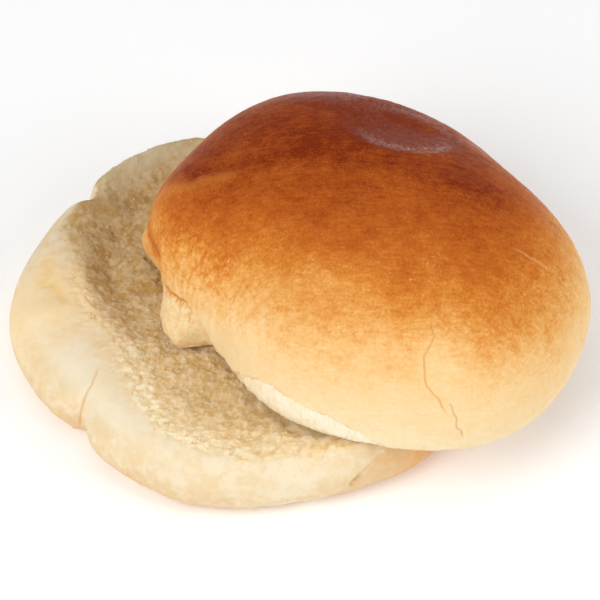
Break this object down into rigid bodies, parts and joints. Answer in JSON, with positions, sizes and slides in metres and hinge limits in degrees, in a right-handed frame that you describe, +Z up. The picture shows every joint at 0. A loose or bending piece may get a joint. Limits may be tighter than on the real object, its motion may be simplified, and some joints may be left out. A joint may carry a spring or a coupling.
{
  "type": "bread roll",
  "caption": "Soft round bread roll cut through the middle, its glossy browned dome resting askew on the pale base, so that the crumb of the cut face shows.",
  "frame": {"origin": "on the table, in the middle of the ground that the two halves cover together", "axes": "+Z up; +X towards the side to which the top half was slid; -Y towards the side where the two halves were baked against the next roll"},
  "size_m": [0.1454, 0.1162, 0.0596],
  "materials": {
    "crumb": "matte, open-pored white bread crumb with a smooth pale cream skin round it",
    "crust": "glossy egg-washed crust, dark red-brown on top, golden at the sides and cream at the edge"
  },
  "bodies": {
    "root": {"bottom_half": "crumb", "top_half": "crust"}
  },
  "joints": []
}
